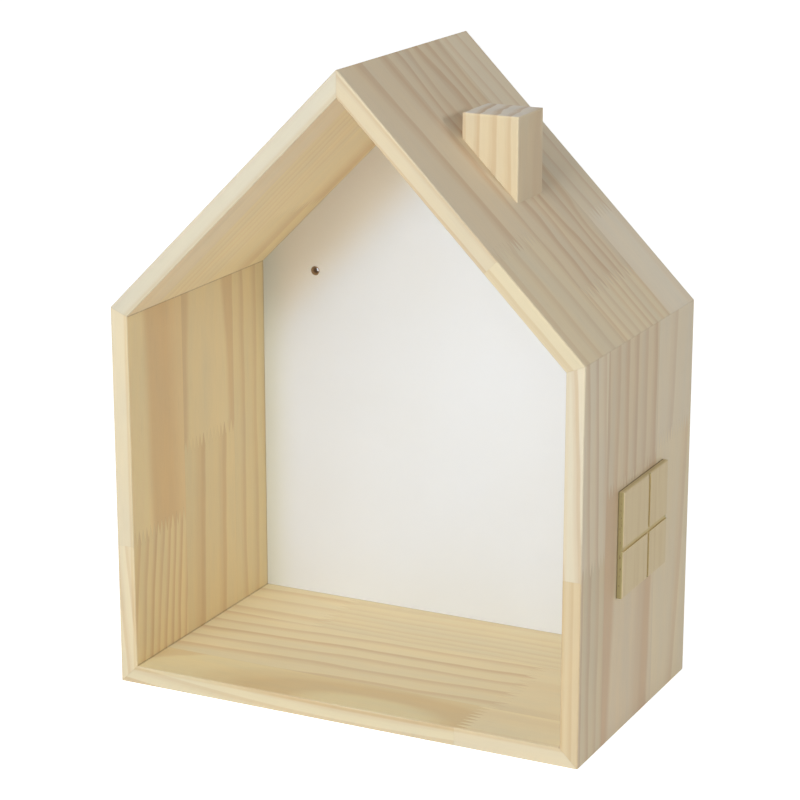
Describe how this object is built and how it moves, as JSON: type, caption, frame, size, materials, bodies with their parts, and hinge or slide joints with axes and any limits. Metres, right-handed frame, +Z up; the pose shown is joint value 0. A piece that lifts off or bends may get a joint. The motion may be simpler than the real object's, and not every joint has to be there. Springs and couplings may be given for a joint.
{
  "type": "house-shaped wall shelf",
  "caption": "House-shaped pine wall shelf with an open front, a white back panel for hanging, a block chimney and a grooved window plate.",
  "frame": {"origin": "middle of the base board's underside, under the middle of the house's width and depth", "axes": "+Z up, the open front faces -Y, the back edges and the wall lie towards +Y, +X towards the wall with the window plate"},
  "size_m": [0.324, 0.18, 0.4097],
  "materials": {
    "pine": "clear matt lacquer on sanded finger-jointed pine",
    "white_panel": "fibreboard, smooth matt white on the front, bare brown on the back and in the holes",
    "plywood": "clear matt lacquer",
    "beech": "bare turned dowel",
    "pin_steel": "bright"
  },
  "bodies": {
    "root": {"base_board": "pine", "right_wall": "pine", "right_roof": "pine", "left_roof": "pine", "left_wall": "pine", "back_panel": "white_panel", "chimney": "pine", "window_plate": "plywood", "left_base_dowels": "beech", "right_base_dowels": "beech", "right_eave_dowels": "beech", "ridge_dowels": "beech", "left_eave_dowels": "beech", "chimney_dowels": "beech", "panel_pins": "pin_steel"}
  },
  "joints": []
}
